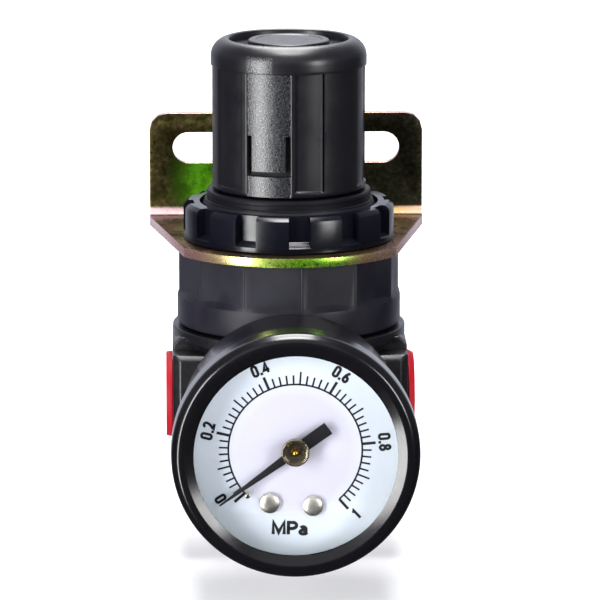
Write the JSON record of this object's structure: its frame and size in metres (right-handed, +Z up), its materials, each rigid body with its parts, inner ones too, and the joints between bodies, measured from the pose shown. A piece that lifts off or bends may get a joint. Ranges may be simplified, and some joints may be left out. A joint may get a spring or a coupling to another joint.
{
  "type": "miniature air pressure regulator",
  "caption": "Compact inline air pressure regulator: die-cast body with side ports, locking knob on a spring bonnet, round front gauge and a slotted angle bracket.",
  "frame": {"origin": "on the bracket's rear mounting face, midway between the centres of its two slots", "axes": "+Z up along the knob's axis, +X through the ports to the right port, +Y out of the mounting face, so the gauge looks along -Y"},
  "size_m": [0.0476, 0.0719, 0.0874],
  "materials": {
    "body_paint": "satin black paint on a zinc die casting",
    "bonnet_resin": "moulded glass-filled nylon, fine grain",
    "nut_resin": "moulded acetal, glossy",
    "knob_resin": "moulded acetal, satin with frosted grip panels",
    "bracket_zinc": "zinc-plated steel, yellow passivated",
    "plug_red": "moulded red polyethylene",
    "rubber": "moulded nitrile rubber",
    "spring_steel": "drawn spring wire",
    "steel": "turned steel",
    "nickel": "nickel plating",
    "brass": "turned and stamped brass",
    "bronze": "drawn phosphor bronze",
    "dial_enamel": "white enamel on aluminium sheet",
    "pointer_black": "black paint on aluminium sheet",
    "gauge_black": "glossy black moulding",
    "lens_clear": "clear polycarbonate"
  },
  "bodies": {
    "housing": {"body": "body_paint", "bonnet": "bonnet_resin", "bracket": "bracket_zinc", "ring_nut": "nut_resin", "thrust_washer": "brass", "diaphragm": "rubber", "pressure_spring": "spring_steel", "return_spring": "spring_steel", "bottom_plug": "bonnet_resin", "bottom_o_ring": "rubber", "rear_plug": "nickel", "gauge_socket": "brass", "gauge_case": "gauge_black", "gauge_bezel": "gauge_black", "gauge_lens": "lens_clear", "lens_gasket": "rubber", "case_screw_left": "nickel", "case_screw_right": "nickel", "bourdon_tube": "bronze", "hairspring": "bronze", "movement_back_plate": "brass", "movement_front_plate": "brass", "movement_pillar_near": "brass", "movement_pillar_far": "brass", "dial": "dial_enamel", "dial_post_left": "brass", "dial_post_right": "brass", "dial_screw_left": "nickel", "dial_screw_right": "nickel", "stop_pin": "nickel"},
    "adjusting_screw": {"adjusting_screw": "steel"},
    "knob": {"knob": "knob_resin", "knob_badge": "knob_resin"},
    "spring_nut": {"spring_nut": "brass"},
    "diaphragm_centre": {"diaphragm_plate": "brass", "relief_hub": "brass"},
    "valve": {"valve_stem": "brass", "poppet_seal": "rubber"},
    "sector": {"sector_gear": "brass", "sector_arbor": "steel"},
    "pointer": {"pinion_arbor": "brass", "pointer": "pointer_black", "pointer_hub": "nickel"},
    "tube_tip": {"tube_tip": "brass", "link": "nickel"},
    "left_port_plug": {"left_port_plug": "plug_red"},
    "right_port_plug": {"right_port_plug": "plug_red"}
  },
  "joints": [
    {"name": "knob_turn", "type": "hinge", "parent": "housing", "child": "adjusting_screw", "pos_m": [0, -0.022, 0], "axis": [0, 0, 1], "range_deg": [-1350, 0]},
    {"name": "knob_lift", "type": "slide", "parent": "adjusting_screw", "child": "knob", "axis": [0, 0, 1], "range_m": [0, 0.0025]},
    {"name": "nut_travel", "type": "slide", "parent": "housing", "child": "spring_nut", "axis": [0, 0, 1], "range_m": [-0.0047, 0], "deforming": ["pressure_spring"]},
    {"name": "diaphragm_stroke", "type": "slide", "parent": "housing", "child": "diaphragm_centre", "axis": [0, 0, 1], "range_m": [-0.0008, 0], "stiffness_N_per_m": 600, "springref_m": 0.001, "deforming": ["diaphragm"]},
    {"name": "valve_stroke", "type": "slide", "parent": "housing", "child": "valve", "axis": [0, 0, 1], "range_m": [-0.0008, 0], "deforming": ["return_spring"]},
    {"name": "sector_swing", "type": "hinge", "parent": "housing", "child": "sector", "pos_m": [-0.00877, -0.0586, -0.04451], "axis": [0, -1, 0], "range_deg": [0, 33.12], "stiffness_Nm_per_rad": 0.0005, "springref_deg": -20.05},
    {"name": "pointer_turn", "type": "hinge", "parent": "housing", "child": "pointer", "pos_m": [0, -0.0586, -0.03945], "axis": [0, 1, 0], "range_deg": [0, 265]},
    {"name": "tip_travel", "type": "slide", "parent": "housing", "child": "tube_tip", "axis": [-1, 0, 0], "range_m": [0, 0.0024], "deforming": ["bourdon_tube"]},
    {"name": "left_plug_pull", "type": "slide", "parent": "housing", "child": "left_port_plug", "axis": [-1, 0, 0], "range_m": [0, 0.01]},
    {"name": "right_plug_pull", "type": "slide", "parent": "housing", "child": "right_port_plug", "axis": [1, 0, 0], "range_m": [0, 0.01]}
  ],
  "couplings": [
    {"joint": "nut_travel", "follows": "knob_turn", "m_per_rad": 0.00019894},
    {"joint": "valve_stroke", "follows": "diaphragm_stroke", "ratio": 1},
    {"joint": "pointer_turn", "follows": "sector_swing", "ratio": 8},
    {"joint": "tip_travel", "follows": "sector_swing", "m_per_rad": 0.004139}
  ]
}
